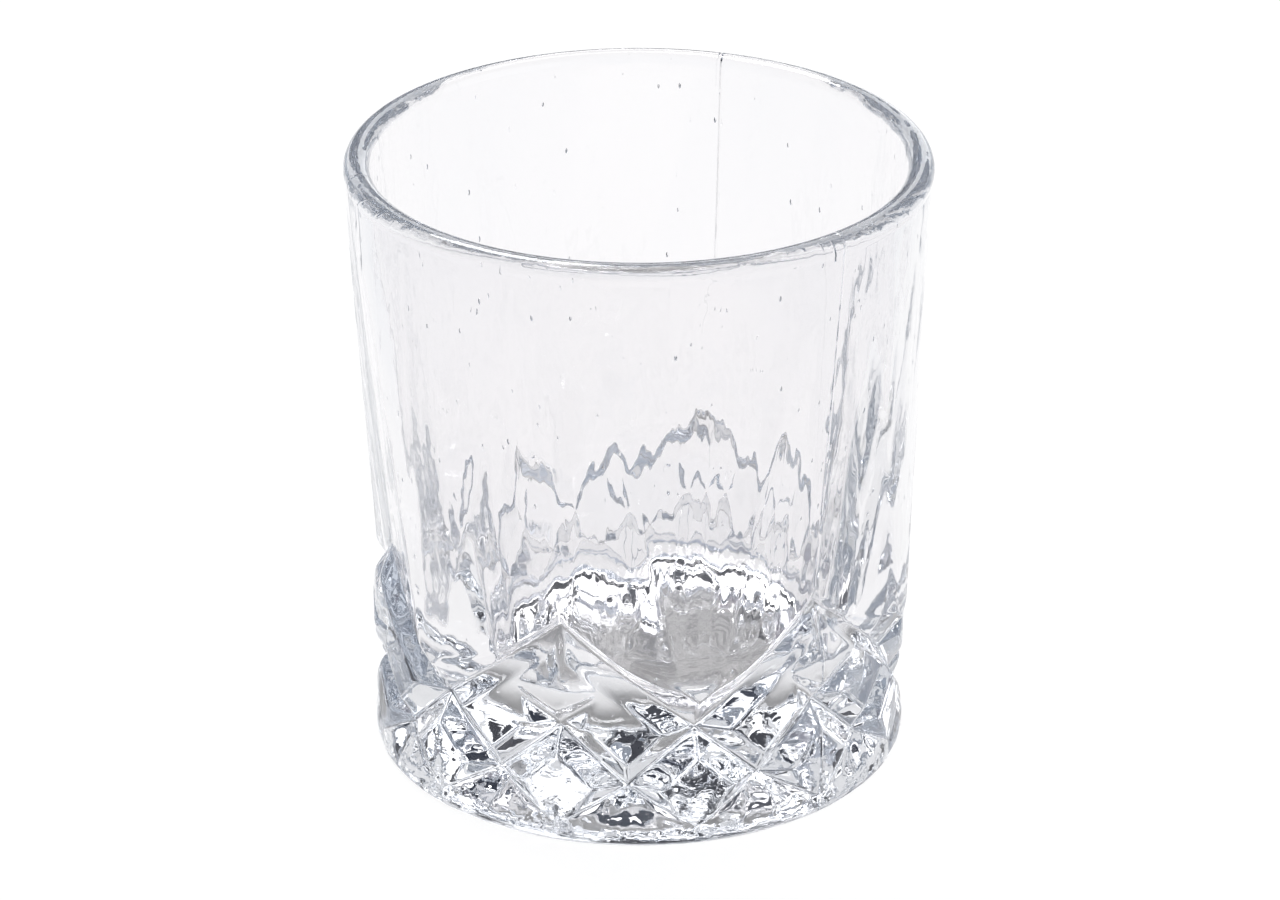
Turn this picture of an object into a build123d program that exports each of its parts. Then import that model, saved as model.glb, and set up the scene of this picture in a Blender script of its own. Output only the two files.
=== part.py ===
from build123d import *

import math
import os

# A pressed-glass whiskey tumbler. It is one piece of glass: a thick base with a band of
# cut diamonds, six tilted flats on the wall above them, and a rounded drinking lip.
# Units are millimetres. The origin is the centre of the circle that the glass stands on.

# Overall size
HEIGHT = 89.5
LIP_OUTER_RADIUS = 41.0
LIP_BEAD_RADIUS = 1.85
LIP_OVERHANG = 0.3

# Wall outside
WALL_FOOT_RADIUS = 39.2      # round part of the wall, up to WALL_STRAIGHT_TOP
WALL_STRAIGHT_TOP = 38.0
WALL_MID_RADIUS = 39.75      # the same wall half way up to the lip
BAND_RADIUS = 38.05          # tops of the diamonds
FOOT_ROUND = 2.2             # radius of the rounded edge at the base

# Cavity
FLOOR_HEIGHT = 12.0
FLOOR_CORNER_RADIUS = 18.0
CAVITY_FOOT_RADIUS = 32.3    # where the corner of the floor meets the wall
CAVITY_MID_RADIUS = 35.6

# Underside
PUNT_RADIUS = 33.0
PUNT_DEPTH = 3.0

# Six-fold pattern. Azimuth 0 is the -Y direction, where one flat has its middle and the
# zigzag has a peak. Azimuths grow towards +X.
SIDES = 6
SIDE_ANGLE = 360 / SIDES
NODE_ANGLE = SIDE_ANGLE / 4

# Heights of the pattern's corners
BASE_NODE_HEIGHT = 3.2
LOWER_NODE_HEIGHT = 9.25
UPPER_NODE_HEIGHT = 18.0
PEAK_HEIGHT = 33.5
LEAF_TIP_HEIGHT = 24.3
SPUR_TIP_HEIGHT = 25.0
LEAF_TIP_ANGLE = 9.5

# Flats
FLAT_DISTANCE_AT_PEAK = 35.93
FLAT_SLOPE = 0.095           # outward per millimetre of height

# Grooves and facets
GROOVE_BOTTOM_RADIUS = 35.4
GROOVE_HALF_ANGLE = 50
GROOVE_OVERRUN = 0.8         # past each node, so that grooves cross cleanly
CUTTER_HEIGHT = 6.0
BASE_FACET_SLOPE = 0.46
GROOVE_EDGE_RADIUS = BAND_RADIUS + 0.1


def ring_point(radius, azimuth, height):
    angle = math.radians(azimuth)
    return Vector(radius * math.sin(angle), -radius * math.cos(angle), height)


def outward(azimuth):
    return ring_point(1, azimuth, 0)


def sideways(azimuth):
    return ring_point(1, azimuth + 90, 0)


def peak_azimuths():
    return [SIDE_ANGLE * i for i in range(SIDES)]


def glass_blank():
    """The plain glass before it is cut: one profile turned about the axis."""
    bead_centre = LIP_OUTER_RADIUS - LIP_BEAD_RADIUS
    bead_height = HEIGHT - LIP_BEAD_RADIUS
    wall_top = LIP_OUTER_RADIUS - LIP_OVERHANG
    step = math.sqrt(LIP_BEAD_RADIUS**2 - (LIP_BEAD_RADIUS - LIP_OVERHANG) ** 2)
    wall_top_height = bead_height - step
    cavity_top_radius = bead_centre - LIP_BEAD_RADIUS
    corner_top = FLOOR_HEIGHT + FLOOR_CORNER_RADIUS
    corner_diagonal = FLOOR_CORNER_RADIUS * math.sqrt(0.5)
    corner_centre = CAVITY_FOOT_RADIUS - FLOOR_CORNER_RADIUS
    foot_centre = BAND_RADIUS - FOOT_ROUND
    foot_diagonal = FOOT_ROUND * math.sqrt(0.5)
    with BuildPart() as blank:
        with BuildSketch(Plane.XZ):
            with BuildLine():
                Polyline(
                    (0, FLOOR_HEIGHT),
                    (0, PUNT_DEPTH),
                )
                RadiusArc(
                    (0, PUNT_DEPTH),
                    (PUNT_RADIUS, 0),
                    -(PUNT_RADIUS**2 + PUNT_DEPTH**2) / (2 * PUNT_DEPTH),
                )
                Line((PUNT_RADIUS, 0), (foot_centre, 0))
                ThreePointArc(
                    (foot_centre, 0),
                    (foot_centre + foot_diagonal, FOOT_ROUND - foot_diagonal),
                    (BAND_RADIUS, FOOT_ROUND),
                )
                Polyline(
                    (BAND_RADIUS, FOOT_ROUND),
                    (BAND_RADIUS, UPPER_NODE_HEIGHT),
                    (WALL_FOOT_RADIUS, UPPER_NODE_HEIGHT + 1),
                    (WALL_FOOT_RADIUS, WALL_STRAIGHT_TOP),
                )
                ThreePointArc(
                    (WALL_FOOT_RADIUS, WALL_STRAIGHT_TOP),
                    (WALL_MID_RADIUS, (WALL_STRAIGHT_TOP + wall_top_height) / 2),
                    (wall_top, wall_top_height),
                )
                ThreePointArc(
                    (wall_top, wall_top_height),
                    (bead_centre, HEIGHT),
                    (cavity_top_radius, bead_height),
                )
                ThreePointArc(
                    (cavity_top_radius, bead_height),
                    (CAVITY_MID_RADIUS, (bead_height + corner_top) / 2),
                    (CAVITY_FOOT_RADIUS, corner_top),
                )
                ThreePointArc(
                    (CAVITY_FOOT_RADIUS, corner_top),
                    (corner_centre + corner_diagonal, corner_top - corner_diagonal),
                    (corner_centre, FLOOR_HEIGHT),
                )
                Line((corner_centre, FLOOR_HEIGHT), (0, FLOOR_HEIGHT))
            make_face()
        revolve(axis=Axis.Z)
    return blank.part


def facet_cutter(corner, azimuth, slope, outline):
    """A prism that leaves a flat facet, leaning out by slope, with the outline's shape."""
    lean = Vector(0, 0, 1) + outward(azimuth) * slope
    normal = sideways(azimuth).cross(lean).normalized()
    plane = Plane(origin=corner, x_dir=sideways(azimuth), z_dir=normal)
    return extrude(plane * make_face(Polyline(*outline, close=True)), CUTTER_HEIGHT)


def flat_cutters():
    """The six tall flats. The foot of each one is a gable between two valleys."""
    half_width = FLAT_DISTANCE_AT_PEAK * math.tan(math.radians(SIDE_ANGLE / 2))
    drop = PEAK_HEIGHT - UPPER_NODE_HEIGHT
    outline = [
        (0, 0),
        (half_width, -drop),
        (half_width, HEIGHT),
        (-half_width, HEIGHT),
        (-half_width, -drop),
    ]
    return [
        facet_cutter(ring_point(FLAT_DISTANCE_AT_PEAK, a, PEAK_HEIGHT), a, FLAT_SLOPE, outline)
        for a in peak_azimuths()
    ]


def gable_cutters():
    """Bring the glass under each peak back to the radius of the diamond band."""
    half_width = BAND_RADIUS * math.tan(math.radians(SIDE_ANGLE / 2))
    drop = PEAK_HEIGHT - UPPER_NODE_HEIGHT + 1
    ring_height = 2 * drop
    ring = Cylinder(BAND_RADIUS + CUTTER_HEIGHT, ring_height) - Cylinder(BAND_RADIUS, ring_height)
    ring = Pos(0, 0, PEAK_HEIGHT) * ring
    outline = [(0, 0), (half_width, -drop), (-half_width, -drop)]
    inner = GROOVE_BOTTOM_RADIUS * math.cos(math.radians(SIDE_ANGLE / 2))
    cutters = []
    for azimuth in peak_azimuths():
        foot = ring_point(inner, azimuth, PEAK_HEIGHT)
        plane = Plane(origin=foot, x_dir=sideways(azimuth), z_dir=outward(azimuth))
        wedge = extrude(plane * make_face(Polyline(*outline, close=True)), 2 * CUTTER_HEIGHT)
        cutters.append(wedge & ring)
    return cutters


def base_facet_cutters():
    """Twelve triangular facets at the foot, one under each lower node."""
    drop = LOWER_NODE_HEIGHT + 1
    half_width = (
        BAND_RADIUS
        * math.radians(NODE_ANGLE)
        * drop
        / (LOWER_NODE_HEIGHT - BASE_NODE_HEIGHT)
    )
    outline = [(0, 0), (half_width, -drop), (-half_width, -drop)]
    cutters = []
    for side in peak_azimuths():
        for offset in (-NODE_ANGLE, NODE_ANGLE):
            corner = ring_point(GROOVE_BOTTOM_RADIUS, side + offset, LOWER_NODE_HEIGHT)
            cutters.append(facet_cutter(corner, side + offset, -BASE_FACET_SLOPE, outline))
    return cutters


def groove_cutter(start, end):
    """A V-shaped cutter. Its edge runs from start to end, both (radius, azimuth, height)."""
    head = ring_point(*start)
    tail = ring_point(*end)
    along = (tail - head).normalized()
    middle = outward((start[1] + end[1]) / 2)
    across = along.cross(middle).normalized()
    origin = head - along * GROOVE_OVERRUN
    length = (tail - head).length + 2 * GROOVE_OVERRUN
    half_width = CUTTER_HEIGHT * math.tan(math.radians(GROOVE_HALF_ANGLE))
    plane = Plane(origin=origin, x_dir=across, z_dir=along)
    opening = math.copysign(CUTTER_HEIGHT, plane.y_dir.dot(middle))
    outline = [(0, 0), (half_width, opening), (-half_width, opening)]
    return extrude(plane * make_face(Polyline(*outline, close=True)), length)


def lattice_cutters():
    """The crossing grooves that leave the diamonds, and the zigzag groove above them.

    The lowest grooves rise out of the glass, so the foot is an unbroken ring.
    """
    cutters = []
    for side in peak_azimuths():
        for turn in (-1, 1):
            lower = (GROOVE_BOTTOM_RADIUS, side + turn * NODE_ANGLE, LOWER_NODE_HEIGHT)
            valley = side + turn * SIDE_ANGLE / 2
            for azimuth in (side, valley):
                upper = (GROOVE_BOTTOM_RADIUS, azimuth, UPPER_NODE_HEIGHT)
                foot = (GROOVE_EDGE_RADIUS, azimuth, BASE_NODE_HEIGHT)
                cutters.append(groove_cutter(lower, upper))
                cutters.append(groove_cutter(lower, foot))
            peak = (GROOVE_BOTTOM_RADIUS, side, PEAK_HEIGHT)
            half_way = (
                GROOVE_BOTTOM_RADIUS,
                side + turn * NODE_ANGLE,
                (PEAK_HEIGHT + UPPER_NODE_HEIGHT) / 2,
            )
            corner = (GROOVE_BOTTOM_RADIUS, valley, UPPER_NODE_HEIGHT)
            cutters.append(groove_cutter(peak, half_way))
            cutters.append(groove_cutter(half_way, corner))
    return cutters


def leaf_cutters():
    """Short cuts that rise out of the glass, so that each one ends in a point."""
    cutters = []
    for side in peak_azimuths():
        node = (GROOVE_BOTTOM_RADIUS, side, UPPER_NODE_HEIGHT)
        for turn in (-1, 1):
            tip = (GROOVE_EDGE_RADIUS, side + turn * LEAF_TIP_ANGLE, LEAF_TIP_HEIGHT)
            cutters.append(groove_cutter(node, tip))
        peak = (GROOVE_BOTTOM_RADIUS, side, PEAK_HEIGHT)
        spur = (GROOVE_EDGE_RADIUS, side, SPUR_TIP_HEIGHT)
        cutters.append(groove_cutter(peak, spur))
    return cutters


def glass_tumbler():
    glass = glass_blank()
    for cutters in (
        gable_cutters(),
        flat_cutters(),
        base_facet_cutters(),
        lattice_cutters(),
        leaf_cutters(),
    ):
        glass = glass.cut(*cutters)
    return glass


os.makedirs("parts", exist_ok=True)
export_step(glass_tumbler(), "parts/glass_tumbler.step")
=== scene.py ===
import math

import bpy
import numpy as np
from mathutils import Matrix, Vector


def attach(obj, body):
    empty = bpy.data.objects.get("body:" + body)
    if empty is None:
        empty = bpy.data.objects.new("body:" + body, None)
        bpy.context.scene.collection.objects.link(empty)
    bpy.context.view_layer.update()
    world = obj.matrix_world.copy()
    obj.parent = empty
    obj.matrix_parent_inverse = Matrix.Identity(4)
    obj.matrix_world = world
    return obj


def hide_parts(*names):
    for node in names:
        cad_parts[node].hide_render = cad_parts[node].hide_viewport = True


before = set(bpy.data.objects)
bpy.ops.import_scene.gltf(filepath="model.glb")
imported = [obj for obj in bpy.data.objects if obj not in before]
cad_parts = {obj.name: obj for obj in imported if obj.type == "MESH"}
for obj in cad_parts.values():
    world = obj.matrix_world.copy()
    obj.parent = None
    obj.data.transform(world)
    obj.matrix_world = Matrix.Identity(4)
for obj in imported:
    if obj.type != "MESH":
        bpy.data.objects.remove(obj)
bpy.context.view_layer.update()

# All sizes of the glass are in millimetres until the mesh is made.
MM = 0.001

# Overall size
HEIGHT = 89.49
LIP_OUTER_RADIUS = 40.98
LIP_BEAD_RADIUS = 1.85
LIP_OVERHANG = 0.3
LIP_CENTRE_RADIUS = LIP_OUTER_RADIUS - LIP_BEAD_RADIUS
LIP_CENTRE_HEIGHT = HEIGHT - LIP_BEAD_RADIUS

# Wall outside
WALL_FOOT_RADIUS = 39.2
WALL_STRAIGHT_TOP = 38.0
WALL_FLARE = 1.62
WALL_FLARE_HEIGHT = 48.0     # over which the wall flares by that much
WALL_FLARE_POWER = 1.4
BAND_RADIUS = 38.05

# Cavity
FLOOR_HEIGHT = 12.0
FLOOR_CORNER_RADIUS = 18.0
CAVITY_FOOT_RADIUS = 32.3
CAVITY_MID_RADIUS = 35.6
LIP_FADE = 40.0              # below the lip, where the cavity gets less uneven

# Underside: a hollow, and the ring round it that the glass stands on
PUNT_RADIUS = 33.0
PUNT_DEPTH = 3.0
FOOT_ROUND = 2.2

# Cut pattern: corners of the grooves, as heights above the base. The lattice is counted in
# steps: one step round the glass is 15 degrees, and one step up goes to the next corner. At its
# top a zigzag runs from valleys to peaks.
STEPS_ROUND = 24
CORNER_HEIGHTS = (3.2, 9.25, 18.0, 25.75, 33.5)
PEAK_STEP = 4
VALLEY_STEP = 2
PEAK_SPACING = 4             # steps round, from one peak to the next
STEP_WIDTH = 9.6
GROOVE_SPACING = 6.5         # from one groove's line half way to the next
GROOVE_BOTTOM = 35.4
GROOVE_RUN_OUT = 2.65        # the lowest grooves rise out of the glass at their feet
FLANK_SLOPE = 0.84
GROOVE_TIP_ROUND = 0.14
DIAMOND_CROWN = 0.012
EDGE_ROUND = 0.35
LEAF_TIP = (0.63, 2.81)
SPUR_TIP_STEP = 2.9
BASE_FACET_RADIUS = 35.5     # at the top corner of a facet
BASE_FACET_SLOPE = 0.46

# Unevenness. Each ripple is its size in millimetres, the waves counted round the glass,
# the radians per millimetre upwards, and the seed.
RIPPLE_WAVES = 14
WALL_RIPPLE = ((0.03, (8, 36), (0.02, 0.15), 1),)
BAND_RIPPLE = ((0.05, (20, 60), (0.2, 0.6), 2),)
CAVITY_RIPPLE = ((0.07, (8, 26), (0.05, 0.25), 3), (0.03, (30, 70), (0.05, 0.2), 4))

# Mould seams
SEAMS = 3
SEAM_HEIGHT = 0.13
SEAM_WIDTH = 0.25            # from the ridge of a seam to its edge
SEAM_INSIDE = 37.2           # everything further out than this can carry a seam

# Flats
FLAT_DISTANCE = 35.93        # from the axis, at the height of the peaks
FLAT_SLOPE = 0.095
FLAT_EDGE_ROUND = 0.25

# Glass
GLASS_IOR = 1.52
GLASS_COLOUR = (0.945, 0.935, 0.942, 1)
DEPTH_COLOUR = (0.5, 0.54, 0.59, 1)
DEPTH_DENSITY = 10.0         # absorbed per metre
WAVE_SCALE = 260.0           # per metre
WAVE_STRETCH = 0.4           # scale upwards, as a share of the scale round the glass
WAVE_DETAIL = 2.0
WAVE_HEIGHT = 0.0001         # metres
SPECK_SCALE = 420.0          # per metre
SPECK_SIZE = 0.075           # share of the distance between specks
SPECK_HEIGHT = 0.0004        # metres
SMUDGE_SCALE = 60.0          # per metre
SMUDGE_DETAIL = 4.0
SMUDGE_RANGE = (0.5, 0.75)   # of the noise, from clean glass to the middle of a smudge
SMUDGE_ROUGHNESS = 0.04

# Camera: degrees and metres
CAMERA_AZIMUTH = 17.6
CAMERA_PITCH = 25.334
CAMERA_DISTANCE = 0.7168     # from the glass's axis
CAMERA_HEIGHT = 0.3831
CAMERA_SENSOR = 36           # millimetres
CAMERA_LENS = 157.2          # millimetres
CAMERA_SHIFT = 0.0009
BEHIND = CAMERA_AZIMUTH + 180

# Floor: pale, with a painted pool of light in a wide soft wedge that widens away from the camera,
# and painted shade under the glass, standing in for the shadow the glass would cast there.
FLOOR_HALF_SIZE = 3.0
FLOOR_DROP = 5e-5            # keeps the floor clear of the glass's foot
FLOOR_COLOUR = (0.06, 0.06, 0.06, 1)
FLOOR_GLOW = (0.95, 0.95, 0.95, 1)
# Painted fall-off of light: outside the wedge the floor's glow fades to this dimmer colour.
PAINTED_FALLOFF_GLOW = (0.6, 0.65, 0.71, 1)
PAINTED_POOL_HALF_WIDTH = 0.094       # metres, of the lit part of the floor, beside the glass
PAINTED_POOL_SPREAD = 0.11            # metres wider on each side for each metre further off
PAINTED_POOL_LEAST_WIDTH = 0.0235
PAINTED_POOL_LENGTH = 1.1             # metres behind the glass
PAINTED_POOL_FADE = (0.9, 3.0)        # where it fades, as shares of the lit part's width and length
# Painted shade: under the glass the floor's glow is dimmed to this share, in place of a cast
# shadow.
PAINTED_SHADE_EDGE = (0.02, 0.036)   # metres from the middle of the glass
PAINTED_SHADE_GLOW = 0.3

# Surroundings: a pale backdrop behind the glass, a dimmer room round and above it, and four
# dark flags beside the backdrop that give the glass its dark lines.
ROOM_COLOUR = (0.29, 0.35, 0.43, 1)
OVERHEAD_COLOUR = (0.36, 0.32, 0.36, 1)
OVERHEAD_FROM = 0.7          # sine of the elevation
BACKDROP_COLOUR = (2.4, 2.4, 2.4, 1)
FRONT_COLOUR = (0.58, 0.66, 0.77, 1)
SIDE_COLOUR = (1.1, 1.15, 1.22, 1)
FLAG_COLOUR = (0.01, 0.013, 0.03, 1)
# Azimuth and elevation in degrees, how far round it is full and where it ends, and colour
AREAS = (
    (BEHIND, 36, 36, 48, BACKDROP_COLOUR),
    (CAMERA_AZIMUTH, 15, 20, 80, FRONT_COLOUR),
    (CAMERA_AZIMUTH + 65, 20, 22, 38, SIDE_COLOUR),
    (BEHIND + 8, 12, 14, 15, FLAG_COLOUR),
    (BEHIND - 34, 22, 15, 16, FLAG_COLOUR),
    (BEHIND + 38, 36, 14, 15, FLAG_COLOUR),
    (BEHIND + 2, 52, 11, 12, FLAG_COLOUR),
)

# Softbox, behind the glass to the left
SOFTBOX_AZIMUTH = BEHIND + 35
SOFTBOX_ELEVATION = 62
SOFTBOX_DISTANCE = 1.2       # metres, from a point half way up the glass
SOFTBOX_AIM_HEIGHT = 0.04
SOFTBOX_SIZE = 0.5
SOFTBOX_POWER = 9            # watts

# Light trapped in the walls leaves only after many bounces.
LIGHT_BOUNCES = 128

# Mesh density
CELLS_PER_STEP = 20
CELLS_ROUND = STEPS_ROUND * CELLS_PER_STEP
UNDERSIDE_RADII = (2, 8, 14, 20, 26, 30, PUNT_RADIUS)
FOOT_ROWS = 8
WALL_ROWS = 26
LIP_ROWS = 22
CAVITY_ROWS = 34
CORNER_ROWS = 18
FLOOR_SHARES = (0.8, 0.6, 0.4, 0.2, 0.05)


def smooth_min(a, b, width):
    blend = np.clip(0.5 + 0.5 * (b - a) / width, 0, 1)
    return b + (a - b) * blend - width * blend * (1 - blend)


def direction(azimuth, elevation):
    """Unit vector for an azimuth from -Y towards +X and an elevation, both in degrees."""
    a, e = math.radians(azimuth), math.radians(elevation)
    return Vector((math.cos(e) * math.sin(a), -math.cos(e) * math.cos(a), math.sin(e)))


def arc_points(start, middle, end, count):
    """Points on the circle through three points, without the first one."""
    (ax, ay), (bx, by), (cx, cy) = start, middle, end
    d = 2 * (ax * (by - cy) + bx * (cy - ay) + cx * (ay - by))
    a2, b2, c2 = ax * ax + ay * ay, bx * bx + by * by, cx * cx + cy * cy
    ux = (a2 * (by - cy) + b2 * (cy - ay) + c2 * (ay - by)) / d
    uy = (a2 * (cx - bx) + b2 * (ax - cx) + c2 * (bx - ax)) / d
    first = math.atan2(ay - uy, ax - ux)
    turn = math.remainder(math.atan2(cy - uy, cx - ux) - first, math.tau)
    half = math.remainder(math.atan2(by - uy, bx - ux) - first, math.tau)
    if half * turn < 0:
        turn -= math.copysign(math.tau, turn)
    radius = math.hypot(ax - ux, ay - uy)
    angles = [first + turn * (i + 1) / count for i in range(count)]
    return [(ux + radius * math.cos(a), uy + radius * math.sin(a)) for a in angles]


def blunt(distance):
    """A distance whose groove bottom is slightly rounded."""
    return np.sqrt(distance**2 + GROOVE_TIP_ROUND**2)


def nearest_even_distance(value):
    return np.abs(value - 2 * np.round(value / 2))


def distance_to_line(across, up, start, end, step_height):
    """Distance in millimetres to a line given in steps, and how far along it, 0 to 1."""
    x, y = (across - start[0]) * STEP_WIDTH, (up - start[1]) * step_height
    dx, dy = (end[0] - start[0]) * STEP_WIDTH, (end[1] - start[1]) * step_height
    along = np.clip((x * dx + y * dy) / (dx * dx + dy * dy), 0, 1)
    return np.hypot(x - along * dx, y - along * dy), along


def ripple(across, height, ripples):
    """Slight unevenness of fire-polished glass, which closes on itself round the glass."""
    angle = across * math.tau / STEPS_ROUND
    total = 0
    for size, rounds, climb, seed in ripples:
        random = np.random.default_rng(seed)
        for _ in range(RIPPLE_WAVES):
            turns = random.integers(*rounds)
            rise = random.uniform(*climb) * random.choice((-1, 1))
            wave = np.sin(turns * angle + rise * height + random.uniform(0, math.tau))
            total = total + size * wave / math.sqrt(RIPPLE_WAVES)
    return total


def wall_radius(from_peak, height):
    """The wall above the pattern: round, with six tilted flats cut into it."""
    flare = np.clip((height - WALL_STRAIGHT_TOP) / WALL_FLARE_HEIGHT, 0, None)
    round_wall = WALL_FOOT_RADIUS + WALL_FLARE * flare**WALL_FLARE_POWER
    flat = FLAT_DISTANCE + FLAT_SLOPE * (height - CORNER_HEIGHTS[PEAK_STEP])
    flat = flat / np.cos(np.radians(from_peak * 360 / STEPS_ROUND))
    return smooth_min(round_wall, flat, FLAT_EDGE_ROUND)


def band_radius(across, up, from_peak):
    """The diamonds: flat tops between V grooves, with a leaf and a spur cut under each peak."""
    rising = nearest_even_distance(across - up)
    falling = nearest_even_distance(across + up)
    zigzag = np.abs(PEAK_STEP - up - np.abs(from_peak))
    lattice = np.where(up <= VALLEY_STEP, np.minimum(rising, falling), 1)
    distance = GROOVE_SPACING * np.minimum(lattice, zigzag)
    bottom = GROOVE_BOTTOM + GROOVE_RUN_OUT * np.clip(1 - up, 0, 1)
    crown = BAND_RADIUS - DIAMOND_CROWN * (GROOVE_SPACING - distance) ** 2
    radius = smooth_min(crown, bottom + FLANK_SLOPE * blunt(distance), EDGE_ROUND)
    step_height = CORNER_HEIGHTS[3] - CORNER_HEIGHTS[2]
    for start, end in (((0, VALLEY_STEP), LEAF_TIP), ((0, PEAK_STEP), (0, SPUR_TIP_STEP))):
        distance, along = distance_to_line(np.abs(from_peak), up, start, end, step_height)
        bottom = GROOVE_BOTTOM + (BAND_RADIUS - GROOVE_BOTTOM) * along
        radius = smooth_min(radius, bottom + FLANK_SLOPE * blunt(distance), EDGE_ROUND / 2)
    return radius


def base_facet_radius(from_corner, height):
    facet = BASE_FACET_RADIUS + BASE_FACET_SLOPE * (CORNER_HEIGHTS[1] - height)
    return facet / np.cos(np.radians(from_corner * 360 / STEPS_ROUND))


def foot_radius(height):
    """The continuous ring that the glass stands on, rounded under."""
    short = np.clip(FOOT_ROUND - height, 0, FOOT_ROUND)
    return BAND_RADIUS - FOOT_ROUND + np.sqrt(FOOT_ROUND**2 - short**2)


def from_nearest_peak(across):
    return across - PEAK_SPACING * np.round(across / PEAK_SPACING)


def wall_surface(across, height):
    return wall_radius(from_nearest_peak(across), height) + ripple(across, height, WALL_RIPPLE)


def lower_surface(across, up, height):
    """The base and the band, and the wall where it comes down between the peaks."""
    from_peak = from_nearest_peak(across)
    from_corner = nearest_even_distance(across + 1)
    band = band_radius(across, up, from_peak)
    facet = base_facet_radius(from_corner, height)
    band = np.where(from_corner < 1 - up, smooth_min(band, facet, EDGE_ROUND), band)
    band = band + ripple(across, height, BAND_RIPPLE)
    below_zigzag = PEAK_STEP - up - np.abs(from_peak)
    step_in = GROOVE_BOTTOM + FLANK_SLOPE * blunt(GROOVE_SPACING * below_zigzag)
    wall = smooth_min(wall_surface(across, height), step_in, EDGE_ROUND / 2)
    return np.where(below_zigzag < 0, wall, np.minimum(band, foot_radius(height)))


def underside_rings(across):
    rings = []
    for radius in UNDERSIDE_RADII:
        rings.append((radius, PUNT_DEPTH * (1 - (radius / PUNT_RADIUS) ** 2)))
    for row in range(FOOT_ROWS):
        height = CORNER_HEIGHTS[0] * (row / FOOT_ROWS) ** 2
        rings.append((lower_surface(across, 0, height), height))
    return rings


def band_rings(across):
    rings = []
    for row in range(PEAK_STEP * CELLS_PER_STEP + 1):
        up = row / CELLS_PER_STEP
        height = np.interp(up, range(PEAK_STEP + 1), CORNER_HEIGHTS)
        rings.append((lower_surface(across, up, height), height))
    return rings


def wall_rings(across):
    """The wall from the peaks to the lip, and the bead of the lip to its inner side."""
    rings = []
    bottom = CORNER_HEIGHTS[PEAK_STEP]
    drop = math.sqrt(LIP_BEAD_RADIUS**2 - (LIP_BEAD_RADIUS - LIP_OVERHANG) ** 2)
    for row in range(1, WALL_ROWS + 1):
        height = bottom + (LIP_CENTRE_HEIGHT - drop - bottom) * row / WALL_ROWS
        rings.append((wall_surface(across, height), height))
    first = -math.asin(drop / LIP_BEAD_RADIUS)
    for row in range(1, LIP_ROWS + 1):
        angle = first + (math.pi - first) * row / LIP_ROWS
        radius = LIP_CENTRE_RADIUS + LIP_BEAD_RADIUS * math.cos(angle)
        rings.append((radius, LIP_CENTRE_HEIGHT + LIP_BEAD_RADIUS * math.sin(angle)))
    return rings


def cavity_rings(across):
    """The cavity from the lip down, round its corner and in to the middle of its floor."""
    rings = []
    corner_top = FLOOR_HEIGHT + FLOOR_CORNER_RADIUS
    lip_inside = (LIP_CENTRE_RADIUS - LIP_BEAD_RADIUS, LIP_CENTRE_HEIGHT)
    middle = (CAVITY_MID_RADIUS, (LIP_CENTRE_HEIGHT + corner_top) / 2)
    foot_inside = (CAVITY_FOOT_RADIUS, corner_top)
    for radius, height in arc_points(lip_inside, middle, foot_inside, CAVITY_ROWS):
        fade = min(1, (LIP_CENTRE_HEIGHT - height) / LIP_FADE)
        rings.append((radius + fade * ripple(across, height, CAVITY_RIPPLE), height))
    corner_centre = CAVITY_FOOT_RADIUS - FLOOR_CORNER_RADIUS
    for row in range(1, CORNER_ROWS + 1):
        angle = math.pi / 2 * row / CORNER_ROWS
        uneven = ripple(across, corner_top - FLOOR_CORNER_RADIUS * angle, CAVITY_RIPPLE)
        corner = FLOOR_CORNER_RADIUS + uneven * math.cos(angle / 2)
        radius = corner_centre + corner * math.cos(angle)
        rings.append((radius, corner_top - corner * math.sin(angle)))
    edge = rings[-1][1] - FLOOR_HEIGHT
    for share in FLOOR_SHARES:
        rings.append((corner_centre * share, FLOOR_HEIGHT + edge * share**2))
    return rings


def ring_faces(row, band_row):
    """Triangles between two rings. In the band, their diagonals run along the grooves."""
    here = np.arange(CELLS_ROUND)
    beside = (here + 1) % CELLS_ROUND
    step_across = here // CELLS_PER_STEP
    step_up = band_row // CELLS_PER_STEP
    if step_up < VALLEY_STEP:
        rising = (step_across + step_up) % 2 == 0
    else:
        rising = step_across % PEAK_SPACING >= PEAK_SPACING / 2
    low, high = row * CELLS_ROUND, (row + 1) * CELLS_ROUND
    a, b, c, d = low + here, low + beside, high + beside, high + here
    first = np.where(rising[:, None], np.stack([a, b, c], 1), np.stack([a, b, d], 1))
    second = np.where(rising[:, None], np.stack([a, c, d], 1), np.stack([b, c, d], 1))
    return first.tolist() + second.tolist()


def glass_mesh():
    """The whole surface in rings, from the middle of the underside to that of the floor."""
    across = np.arange(CELLS_ROUND) / CELLS_PER_STEP
    rings = underside_rings(across)
    band_start = len(rings)
    rings += band_rings(across) + wall_rings(across) + cavity_rings(across)
    angle = across * math.tau / STEPS_ROUND
    ones = np.ones(CELLS_ROUND)
    points = np.concatenate(
        [np.stack([r * np.sin(angle), -r * np.cos(angle), z * ones], 1) for r, z in rings]
    )
    faces = []
    for row in range(len(rings) - 1):
        faces += ring_faces(row, row - band_start)
    first_ring = np.arange(CELLS_ROUND)
    last_ring = first_ring + (len(rings) - 1) * CELLS_ROUND
    faces.append(first_ring[::-1].tolist())
    faces.append(last_ring.tolist())
    mesh = bpy.data.meshes.new("glass_tumbler_surface")
    mesh.from_pydata((points * MM).tolist(), [], faces)
    mesh.polygons.foreach_set("use_smooth", [True] * len(mesh.polygons))
    mesh.update()
    return mesh


def math_node(nodes, links, operation, *values):
    """One step of arithmetic between sockets and numbers."""
    node = nodes.new("ShaderNodeMath")
    node.operation = operation
    for value, socket in zip(values, node.inputs):
        if isinstance(value, (int, float)):
            socket.default_value = value
        else:
            links.new(value, socket)
    return node.outputs[0]


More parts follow.
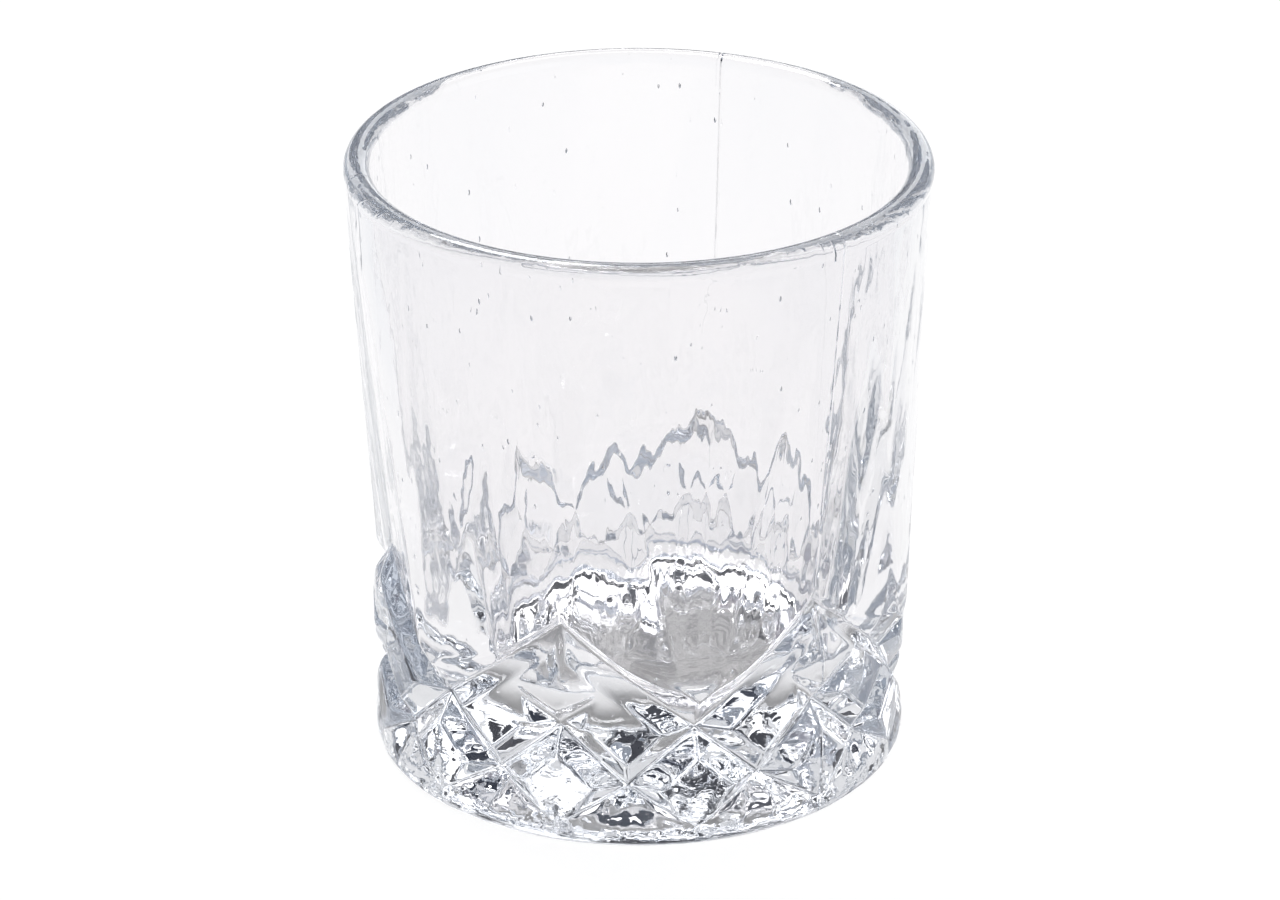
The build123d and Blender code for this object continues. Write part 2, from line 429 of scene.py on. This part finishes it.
def smooth_range(nodes, links, value, between, give):
    """Eases from one number to the other while the value goes between its two limits."""
    node = nodes.new("ShaderNodeMapRange")
    node.interpolation_type = "SMOOTHSTEP"
    node.inputs["From Min"].default_value, node.inputs["From Max"].default_value = between
    node.inputs["To Min"].default_value, node.inputs["To Max"].default_value = give
    links.new(value, node.inputs["Value"])
    return node.outputs["Result"]


def mix_colours(nodes, links, share, first, second):
    """A colour that goes from the first to the second. Each is a colour or a socket."""
    node = nodes.new("ShaderNodeMix")
    node.data_type = "RGBA"
    links.new(share, node.inputs["Factor"])
    for colour, socket in ((first, node.inputs[6]), (second, node.inputs[7])):
        if isinstance(colour, tuple):
            socket.default_value = colour
        else:
            links.new(colour, socket)
    return node.outputs[2]


def noise(nodes, links, coordinates, scale, detail):
    texture = nodes.new("ShaderNodeTexNoise")
    texture.inputs["Scale"].default_value = scale
    texture.inputs["Detail"].default_value = detail
    links.new(coordinates, texture.inputs["Vector"])
    return texture.outputs["Fac"]


def radius_and_angle(nodes, links, coordinates):
    """Distance from the glass's axis in metres, and the azimuth in radians."""
    split = nodes.new("ShaderNodeSeparateXYZ")
    links.new(coordinates, split.inputs[0])
    x, y = split.outputs["X"], split.outputs["Y"]
    squares = math_node(nodes, links, "MULTIPLY", x, x)
    squares = math_node(nodes, links, "MULTIPLY_ADD", y, y, squares)
    radius = math_node(nodes, links, "SQRT", squares)
    return radius, math_node(nodes, links, "ARCTAN2", x, y)


def seam_ridge(nodes, links, radius, angle):
    """Sharp ridge, 0 to 1, on the outside of the glass where the seams of the mould run."""
    angle = math_node(nodes, links, "PINGPONG", angle, math.pi / SEAMS)
    across = math_node(nodes, links, "MULTIPLY", angle, radius)
    ridge = math_node(nodes, links, "DIVIDE", across, SEAM_WIDTH * MM)
    ridge = math_node(nodes, links, "SUBTRACT", 1.0, ridge)
    ridge = math_node(nodes, links, "MAXIMUM", ridge, 0.0)
    outside = math_node(nodes, links, "GREATER_THAN", radius, SEAM_INSIDE * MM)
    return math_node(nodes, links, "MULTIPLY", ridge, outside)


def speck_cones(nodes, links, coordinates):
    """Tiny specks, 0 to 1, scattered over the glass."""
    cells = nodes.new("ShaderNodeTexVoronoi")
    cells.inputs["Scale"].default_value = SPECK_SCALE
    links.new(coordinates, cells.inputs["Vector"])
    speck = math_node(nodes, links, "DIVIDE", cells.outputs["Distance"], SPECK_SIZE)
    speck = math_node(nodes, links, "SUBTRACT", 1.0, speck)
    return math_node(nodes, links, "MAXIMUM", speck, 0.0)


def glass_material():
    """Clear pressed glass: slightly tinted in its depth, faintly wavy, with specks and smudges."""
    material = bpy.data.materials.new("clear_pressed_glass")
    material.use_nodes = True
    nodes, links = material.node_tree.nodes, material.node_tree.links
    shader = nodes["Principled BSDF"]
    shader.inputs["Base Color"].default_value = GLASS_COLOUR
    shader.inputs["IOR"].default_value = GLASS_IOR
    shader.inputs["Transmission Weight"].default_value = 1.0
    absorption = nodes.new("ShaderNodeVolumeAbsorption")
    absorption.inputs["Color"].default_value = DEPTH_COLOUR
    absorption.inputs["Density"].default_value = DEPTH_DENSITY
    links.new(absorption.outputs[0], nodes["Material Output"].inputs["Volume"])

    coordinates = nodes.new("ShaderNodeTexCoord").outputs["Object"]
    stretched = nodes.new("ShaderNodeMapping")
    stretched.inputs["Scale"].default_value = (1, 1, WAVE_STRETCH)
    links.new(coordinates, stretched.inputs["Vector"])
    waves = noise(nodes, links, stretched.outputs["Vector"], WAVE_SCALE, WAVE_DETAIL)
    relief = math_node(nodes, links, "MULTIPLY", waves, WAVE_HEIGHT)
    radius, angle = radius_and_angle(nodes, links, coordinates)
    seams = seam_ridge(nodes, links, radius, angle)
    relief = math_node(nodes, links, "MULTIPLY_ADD", seams, SEAM_HEIGHT * MM, relief)
    specks = speck_cones(nodes, links, stretched.outputs["Vector"])
    relief = math_node(nodes, links, "MULTIPLY_ADD", specks, SPECK_HEIGHT, relief)
    bump = nodes.new("ShaderNodeBump")
    bump.inputs["Strength"].default_value = 1.0
    bump.inputs["Distance"].default_value = 1.0
    links.new(relief, bump.inputs["Height"])
    links.new(bump.outputs["Normal"], shader.inputs["Normal"])

    smudges = nodes.new("ShaderNodeMapRange")
    smudges.inputs["From Min"].default_value = SMUDGE_RANGE[0]
    smudges.inputs["From Max"].default_value = SMUDGE_RANGE[1]
    smudges.inputs["To Max"].default_value = SMUDGE_ROUGHNESS
    clouds = noise(nodes, links, coordinates, SMUDGE_SCALE, SMUDGE_DETAIL)
    links.new(clouds, smudges.inputs["Value"])
    links.new(smudges.outputs["Result"], shader.inputs["Roughness"])
    return material


def add_glass():
    mesh = glass_mesh()
    glass = bpy.data.objects.new("tumbler_glass", mesh)
    bpy.context.scene.collection.objects.link(glass)
    mesh.materials.append(glass_material())
    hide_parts("glass_tumbler")
    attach(glass, "root")


def floor_material():
    """Pale floor that glows evenly round the glass, with painted shade under it and a painted
    fall-off of light further off.
    """
    material = bpy.data.materials.new("pale_floor")
    material.use_nodes = True
    nodes, links = material.node_tree.nodes, material.node_tree.links
    shader = nodes["Principled BSDF"]
    shader.inputs["Base Color"].default_value = FLOOR_COLOUR
    shader.inputs["Roughness"].default_value = 1.0
    coordinates = nodes.new("ShaderNodeTexCoord").outputs["Object"]
    split = nodes.new("ShaderNodeSeparateXYZ")
    links.new(coordinates, split.inputs[0])
    sideways, away = split.outputs["X"], split.outputs["Y"]
    # Painted pool of light: a wedge widening away from the camera, outside which the glow fades.
    half_width = math_node(nodes, links, "MULTIPLY_ADD", away, PAINTED_POOL_SPREAD, PAINTED_POOL_HALF_WIDTH)
    half_width = math_node(nodes, links, "MAXIMUM", half_width, PAINTED_POOL_LEAST_WIDTH)
    sideways = math_node(nodes, links, "ABSOLUTE", sideways)
    share_across = math_node(nodes, links, "DIVIDE", sideways, half_width)
    share_away = math_node(nodes, links, "DIVIDE", away, PAINTED_POOL_LENGTH)
    share = math_node(nodes, links, "MAXIMUM", share_across, share_away)
    fade = smooth_range(nodes, links, share, PAINTED_POOL_FADE, (0, 1))
    glow = mix_colours(nodes, links, fade, FLOOR_GLOW, PAINTED_FALLOFF_GLOW)
    links.new(glow, shader.inputs["Emission Color"])

    # Painted shade under the glass: the glow is dimmed towards the middle instead of a cast
    # shadow.
    distance = nodes.new("ShaderNodeVectorMath")
    distance.operation = "LENGTH"
    links.new(coordinates, distance.inputs[0])
    painted_shade = smooth_range(nodes, links, distance.outputs["Value"], PAINTED_SHADE_EDGE, (PAINTED_SHADE_GLOW, 1))
    links.new(painted_shade, shader.inputs["Emission Strength"])
    return material


def add_floor():
    size = FLOOR_HALF_SIZE
    mesh = bpy.data.meshes.new("floor")
    corners = [(-size, -size, 0), (size, -size, 0), (size, size, 0), (-size, size, 0)]
    mesh.from_pydata(corners, [], [(0, 1, 2, 3)])
    floor = bpy.data.objects.new("floor", mesh)
    floor.location.z = -FLOOR_DROP
    floor.rotation_euler.z = math.radians(CAMERA_AZIMUTH)
    bpy.context.scene.collection.objects.link(floor)
    mesh.materials.append(floor_material())


def add_world():
    """Studio surroundings: the room's colour by elevation, and the areas laid over it."""
    world = bpy.data.worlds.new("studio")
    bpy.context.scene.world = world
    world.use_nodes = True
    nodes, links = world.node_tree.nodes, world.node_tree.links
    background = nodes["Background"]
    outwards = nodes.new("ShaderNodeTexCoord").outputs["Generated"]
    split = nodes.new("ShaderNodeSeparateXYZ")
    links.new(outwards, split.inputs[0])
    ramp = nodes.new("ShaderNodeValToRGB")
    links.new(split.outputs["Z"], ramp.inputs["Fac"])
    ramp.color_ramp.elements[0].position = 0.0
    ramp.color_ramp.elements[0].color = ROOM_COLOUR
    ramp.color_ramp.elements[1].position = OVERHEAD_FROM
    ramp.color_ramp.elements[1].color = OVERHEAD_COLOUR
    colour = ramp.outputs["Color"]
    for azimuth, elevation, inner, outer, area_colour in AREAS:
        dot = nodes.new("ShaderNodeVectorMath")
        dot.operation = "DOT_PRODUCT"
        links.new(outwards, dot.inputs[0])
        dot.inputs[1].default_value = direction(azimuth, elevation)
        edge = (math.cos(math.radians(outer)), math.cos(math.radians(inner)))
        inside = smooth_range(nodes, links, dot.outputs["Value"], edge, (0, 1))
        colour = mix_colours(nodes, links, inside, colour, area_colour)
    links.new(colour, background.inputs["Color"])
    background.inputs["Strength"].default_value = 1.0


def add_softbox():
    data = bpy.data.lights.new("softbox_left", "AREA")
    data.shape = "SQUARE"
    data.size = SOFTBOX_SIZE
    data.energy = SOFTBOX_POWER
    light = bpy.data.objects.new("softbox_left", data)
    place = direction(SOFTBOX_AZIMUTH, SOFTBOX_ELEVATION)
    light.location = place * SOFTBOX_DISTANCE + Vector((0, 0, SOFTBOX_AIM_HEIGHT))
    light.rotation_euler = place.to_track_quat("Z", "Y").to_euler()
    bpy.context.scene.collection.objects.link(light)


def add_camera():
    turn = math.radians(CAMERA_AZIMUTH)
    data = bpy.data.cameras.new("camera")
    data.sensor_width = CAMERA_SENSOR
    data.lens = CAMERA_LENS
    data.shift_x = CAMERA_SHIFT
    camera = bpy.data.objects.new("camera", data)
    sideways, back = CAMERA_DISTANCE * math.sin(turn), CAMERA_DISTANCE * math.cos(turn)
    camera.location = (sideways, -back, CAMERA_HEIGHT)
    camera.rotation_euler = (math.radians(90 - CAMERA_PITCH), 0, turn)
    bpy.context.scene.collection.objects.link(camera)
    bpy.context.scene.camera = camera


add_glass()
add_floor()
add_world()
add_softbox()
add_camera()
scene = bpy.context.scene
scene.view_settings.view_transform = "Standard"
scene.cycles.max_bounces = LIGHT_BOUNCES
scene.cycles.transmission_bounces = LIGHT_BOUNCES
scene.cycles.glossy_bounces = LIGHT_BOUNCES
